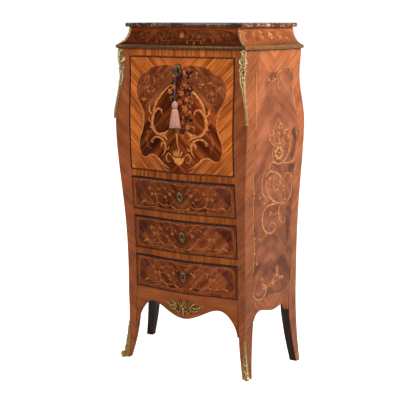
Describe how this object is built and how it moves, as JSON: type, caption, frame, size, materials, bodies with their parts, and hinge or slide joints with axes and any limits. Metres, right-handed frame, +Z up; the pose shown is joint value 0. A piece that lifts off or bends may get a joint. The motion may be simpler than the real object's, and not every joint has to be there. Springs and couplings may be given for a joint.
{
  "type": "escritoire",
  "caption": "Drop-front writing cabinet with a swelling marquetry body, drawers below a hinged fall, pigeonholes inside, gilt mounts and a marble top.",
  "frame": {"origin": "middle of the overall box, on the floor", "axes": "+Z up, -Y out of the front, +X to the right seen from the front"},
  "size_m": [0.6994, 0.3885, 1.3],
  "materials": {
    "marquetry_front": "polished veneer with marquetry",
    "marquetry_side": "polished veneer with marquetry",
    "carcass_wood": "plain oak",
    "interior_wood": "waxed veneer",
    "gilt_bronze": "gilt, worn in the hollows",
    "brass_fittings": "satin",
    "steel": "satin",
    "marble": "polished, dark red-brown with pale specks",
    "leather": "tooled border",
    "cord": "twisted silk",
    "tassel_silk": "silk threads"
  },
  "bodies": {
    "carcass": {"apron": "marquetry_front", "apron_mount": "gilt_bronze", "back_panel": "carcass_wood", "bottom_board": "carcass_wood", "brass_moulding": "gilt_bronze", "corner_mount_left": "gilt_bronze", "corner_mount_right": "gilt_bronze", "cove_mounts": "gilt_bronze", "desk_bed": "interior_wood", "desk_floor": "marquetry_front", "drawer_divider_1": "marquetry_front", "drawer_divider_2": "marquetry_front", "drawer_guides": "carcass_wood", "frieze_front": "marquetry_front", "frieze_left": "marquetry_front", "frieze_right": "marquetry_front", "front_post_left": "marquetry_side", "front_post_right": "marquetry_side", "marble_top": "marble", "nest_dividers": "interior_wood", "nest_shelves": "interior_wood", "nest_sides": "interior_wood", "pivot_plates": "brass_fittings", "rear_post_left": "marquetry_side", "rear_post_right": "marquetry_side", "sabots": "gilt_bronze", "side_panel_left": "marquetry_side", "side_panel_right": "marquetry_side", "strike_plate": "steel", "top_board": "carcass_wood", "top_rail": "marquetry_front"},
    "fall": {"fall_panel": "marquetry_front", "writing_leather": "leather", "fall_pivots": "brass_fittings", "fall_lock": "steel", "fall_escutcheon": "gilt_bronze", "tassel_loop": "cord"},
    "key": {"key": "steel"},
    "lock_bolt": {"lock_bolt": "steel"},
    "tassel": {"tassel_cord": "cord", "tassel": "tassel_silk"},
    "drawer_1": {"drawer_1_front": "marquetry_front", "drawer_1_sides": "carcass_wood", "drawer_1_bottom": "carcass_wood", "drawer_1_lock": "steel", "drawer_1_escutcheon": "gilt_bronze"},
    "drawer_2": {"drawer_2_front": "marquetry_front", "drawer_2_sides": "carcass_wood", "drawer_2_bottom": "carcass_wood", "drawer_2_lock": "steel", "drawer_2_escutcheon": "gilt_bronze"},
    "drawer_3": {"drawer_3_front": "marquetry_front", "drawer_3_sides": "carcass_wood", "drawer_3_bottom": "carcass_wood", "drawer_3_lock": "steel", "drawer_3_escutcheon": "gilt_bronze"},
    "nest_drawer_left": {"nest_drawer_left": "interior_wood", "nest_knob_left": "brass_fittings"},
    "nest_drawer_right": {"nest_drawer_right": "interior_wood", "nest_knob_right": "brass_fittings"}
  },
  "joints": [
    {"name": "fall_hinge", "type": "hinge", "parent": "carcass", "child": "fall", "pos_m": [0, -0.11765, 0.78285], "axis": [1, 0, 0], "range_deg": [0, 90]},
    {"name": "key_turn", "type": "hinge", "parent": "fall", "child": "key", "pos_m": [0, -0.16825, 1.1315], "axis": [0, 1, 0], "range_deg": [0, 180]},
    {"name": "bolt_slide", "type": "slide", "parent": "fall", "child": "lock_bolt", "axis": [0, 0, 1], "range_m": [0, 0.0085]},
    {"name": "tassel_swing", "type": "hinge", "parent": "fall", "child": "tassel", "pos_m": [0, -0.16825, 1.1252], "axis": [1, 0, 0], "range_deg": [-90, 0]},
    {"name": "drawer_1_slide", "type": "slide", "parent": "carcass", "child": "drawer_1", "axis": [0, -1, 0], "range_m": [0, 0.2]},
    {"name": "drawer_2_slide", "type": "slide", "parent": "carcass", "child": "drawer_2", "axis": [0, -1, 0], "range_m": [0, 0.2]},
    {"name": "drawer_3_slide", "type": "slide", "parent": "carcass", "child": "drawer_3", "axis": [0, -1, 0], "range_m": [0, 0.2]},
    {"name": "nest_drawer_left_slide", "type": "slide", "parent": "carcass", "child": "nest_drawer_left", "axis": [0, -1, 0], "range_m": [0, 0.095]},
    {"name": "nest_drawer_right_slide", "type": "slide", "parent": "carcass", "child": "nest_drawer_right", "axis": [0, -1, 0], "range_m": [0, 0.095]}
  ],
  "couplings": [
    {"joint": "bolt_slide", "follows": "key_turn", "m_per_rad": 0.002546},
    {"joint": "tassel_swing", "follows": "fall_hinge", "ratio": -1}
  ]
}
